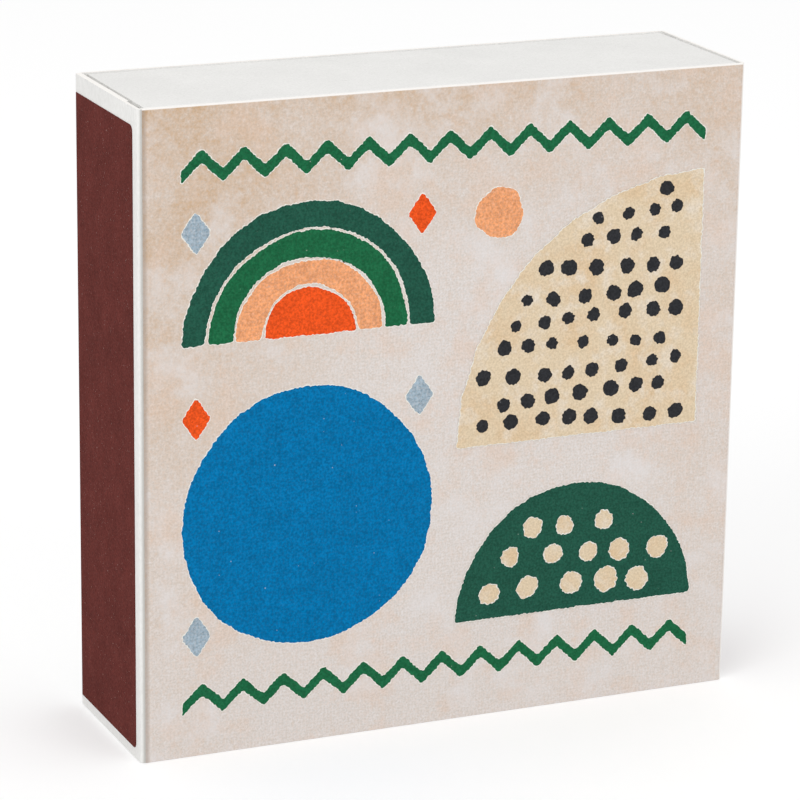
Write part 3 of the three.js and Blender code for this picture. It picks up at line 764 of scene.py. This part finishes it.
def finished_piece(made, name, node, material):
    """Turns a built mesh into a piece that rides in the tray for a CAD node."""
    for face in made.faces:
        face.smooth = True
    mesh = bpy.data.meshes.new(name)
    made.to_mesh(mesh)
    made.free()
    mesh.set_sharp_from_angle(angle=math.radians(SHARP_DEGREES))
    mesh.materials.append(material)
    piece = bpy.data.objects.new(name, mesh)
    bpy.context.scene.collection.objects.link(piece)
    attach(piece, "tray")
    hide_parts(node)
    return piece


def build_match_bed(wood, dip):
    """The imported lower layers, match by match, in the place of the two block nodes."""
    low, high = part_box("match_bed_splints")
    heads_low, heads_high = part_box("match_bed_heads")
    across = int((high.x - low.x) / HEAD_DIAMETER)
    pitch = (high.x - low.x) / across
    front = heads_low.y + HEAD_DIAMETER / 2
    splints = bmesh.new()
    heads = bmesh.new()
    draws = random.Random(BED_SEED)
    for layer in range(BED_LAYERS):
        for place in range(across):
            centre = Vector((
                low.x + (place + 0.5) * pitch,
                front + layer * HEAD_DIAMETER,
                high.z,
            ))
            seed = draws.uniform(0.0, BED_SEED_RANGE)
            width = SPLINT_WIDTH * draws.uniform(BED_LEAST_SIZE, 1.0)
            radius = HEAD_DIAMETER / 2 * draws.uniform(BED_LEAST_SIZE, 1.0)
            height = (heads_high.z - high.z) * draws.uniform(BED_LEAST_HEIGHT, 1.0)
            add_splint(splints, centre, width, low.z, high.z, seed)
            add_head(heads, centre, radius, height, BED_HEAD_SIDES, BED_HEAD_RINGS, seed)
    bed = finished_piece(splints, "match_bed_splints_single", "match_bed_splints", wood)
    tips = finished_piece(heads, "match_bed_heads_single", "match_bed_heads", dip)


def build_loose_heads(dip):
    """Each loose match gets a head with the same lumpy, dipped shape."""
    for name in [node for node in frame["nodes"] if node.startswith("match_head_")]:
        low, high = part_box(name)
        made = bmesh.new()
        centre = Vector(((low.x + high.x) / 2, (low.y + high.y) / 2, low.z))
        height = high.z - low.z
        seed = LOOSE_SEED_STEP * int(name[-2:])
        add_head(made, centre, HEAD_DIAMETER / 2, height, LOOSE_HEAD_SIDES, LOOSE_HEAD_RINGS, seed)
        finished_piece(made, name + "_dipped", name, dip)


# Stage

def add_camera():
    camera = bpy.data.objects.new("camera", bpy.data.cameras.new("camera"))
    camera.data.lens = CAMERA_LENS
    camera.data.clip_start = CAMERA_NEAR
    camera.data.clip_end = CAMERA_FAR
    azimuth = math.radians(CAMERA_AZIMUTH)
    elevation = math.radians(CAMERA_ELEVATION)
    back = Vector((
        math.sin(azimuth) * math.cos(elevation),
        -math.cos(azimuth) * math.cos(elevation),
        math.sin(elevation),
    ))
    facing = (-back).to_track_quat("-Z", "Y").to_matrix().to_4x4()
    roll = Matrix.Rotation(math.radians(CAMERA_ROLL), 4, "Z")
    place = Matrix.Translation(Vector(CAMERA_TARGET) + back * CAMERA_DISTANCE)
    camera.matrix_world = place @ facing @ roll
    bpy.context.scene.collection.objects.link(camera)
    bpy.context.scene.camera = camera


def add_floor():
    half = FLOOR_SIZE / 2
    outline = [(-half, -half), (half, -half), (half, half), (-half, half)]
    mesh = bpy.data.meshes.new("floor")
    mesh.from_pydata([(x, y, -FLOOR_DROP) for x, y in outline], [], [(0, 1, 2, 3)])
    floor = bpy.data.objects.new("floor", mesh)
    bpy.context.scene.collection.objects.link(floor)
    floor.data.materials.append(floor_material())


def floor_material():
    """White to the camera, yet still darkened by the object's shadow."""
    shader = Shader("floor_white")
    shader.bsdf.inputs["Base Color"].default_value = (FLOOR_GREY, FLOOR_GREY, FLOOR_GREY, 1.0)
    shader.bsdf.inputs["Roughness"].default_value = 1.0
    shader.bsdf.inputs["Specular IOR Level"].default_value = 0.0
    path = shader.node("ShaderNodeLightPath")
    seen = shader.math("MAXIMUM", path.outputs["Is Camera Ray"], path.outputs["Is Glossy Ray"])
    seen = shader.math("MAXIMUM", seen, path.outputs["Is Transmission Ray"])
    glow = shader.math("MULTIPLY", seen, FLOOR_GLOW)
    shader.bsdf.inputs["Emission Color"].default_value = (1.0, 1.0, 1.0, 1.0)
    shader.link(glow, shader.bsdf.inputs["Emission Strength"])
    return shader.material


def add_world():
    """Pale light from all round, and white where the camera sees it."""
    world = bpy.data.worlds.new("studio")
    bpy.context.scene.world = world
    world.use_nodes = True
    tree = world.node_tree
    background = tree.nodes["Background"]
    background.inputs["Color"].default_value = (1.0, 1.0, 1.0, 1.0)
    path = tree.nodes.new("ShaderNodeLightPath")
    seen = tree.nodes.new("ShaderNodeMath")
    seen.operation = "MAXIMUM"
    tree.links.new(path.outputs["Is Camera Ray"], seen.inputs[0])
    tree.links.new(path.outputs["Is Transmission Ray"], seen.inputs[1])
    strength = tree.nodes.new("ShaderNodeMapRange")
    strength.inputs["To Min"].default_value = WORLD_STRENGTH
    strength.inputs["To Max"].default_value = 1.0
    tree.links.new(seen.outputs["Value"], strength.inputs["Value"])
    tree.links.new(strength.outputs["Result"], background.inputs["Strength"])


def add_lamps():
    target = Vector(CAMERA_TARGET)
    for name, place, size, power in LAMPS:
        light = bpy.data.lights.new(name, "AREA")
        light.shape = "SQUARE"
        light.size = size
        light.energy = power
        lamp = bpy.data.objects.new(name, light)
        lamp.location = place
        lamp.rotation_euler = (target - Vector(place)).to_track_quat("-Z", "Y").to_euler()
        bpy.context.scene.collection.objects.link(lamp)


# Dressing

def dress_card():
    tray_white = tinted(CARD_WHITE, TRAY_TINT)
    set_material(frame["nodes"]["sleeve"], card_material("sleeve_board", CARD_WHITE, True))
    set_material(frame["nodes"]["tray"], card_material("tray_board", tray_white))


def dress_strikers():
    coat = striker_material()
    for node in ("striker_left", "striker_right"):
        set_material(frame["nodes"][node], coat)


def dress_matches():
    wood = wood_material()
    dip = head_material()
    for name, node in frame["nodes"].items():
        if name.startswith("match_splint_"):
            set_material(node, wood)
    build_match_bed(wood, dip)
    build_loose_heads(dip)


def dress_print():
    slots = {row["node"]: row["material_slot"] for row in frame["record"]["subparts"]}
    inks = {slot: ink_material(slot) for slot in INKS if slot != "print_sand"}
    inks["print_sand"] = sand_material()
    fringe = fringe_material()
    set_material(frame["nodes"]["print_ground"], ground_material())
    for name in [node for node in frame["nodes"] if slots[node] in inks]:
        piece = rough_field(name)
        piece.data.materials.append(inks[slots[name]])
        piece.data.materials.append(fringe)


bpy.ops.wm.read_factory_settings(use_empty=True)
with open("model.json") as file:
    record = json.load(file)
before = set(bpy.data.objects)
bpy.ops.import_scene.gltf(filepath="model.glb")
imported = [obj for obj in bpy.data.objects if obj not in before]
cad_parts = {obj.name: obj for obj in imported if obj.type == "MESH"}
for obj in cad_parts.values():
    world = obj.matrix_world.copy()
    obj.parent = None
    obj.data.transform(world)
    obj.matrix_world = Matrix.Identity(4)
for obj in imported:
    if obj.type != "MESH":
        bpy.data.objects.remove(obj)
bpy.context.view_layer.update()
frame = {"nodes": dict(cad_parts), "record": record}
scene = bpy.context.scene
scene.view_settings.view_transform = "Standard"

add_camera()
add_floor()
add_world()
add_lamps()
dress_card()
dress_strikers()
dress_matches()
dress_print()
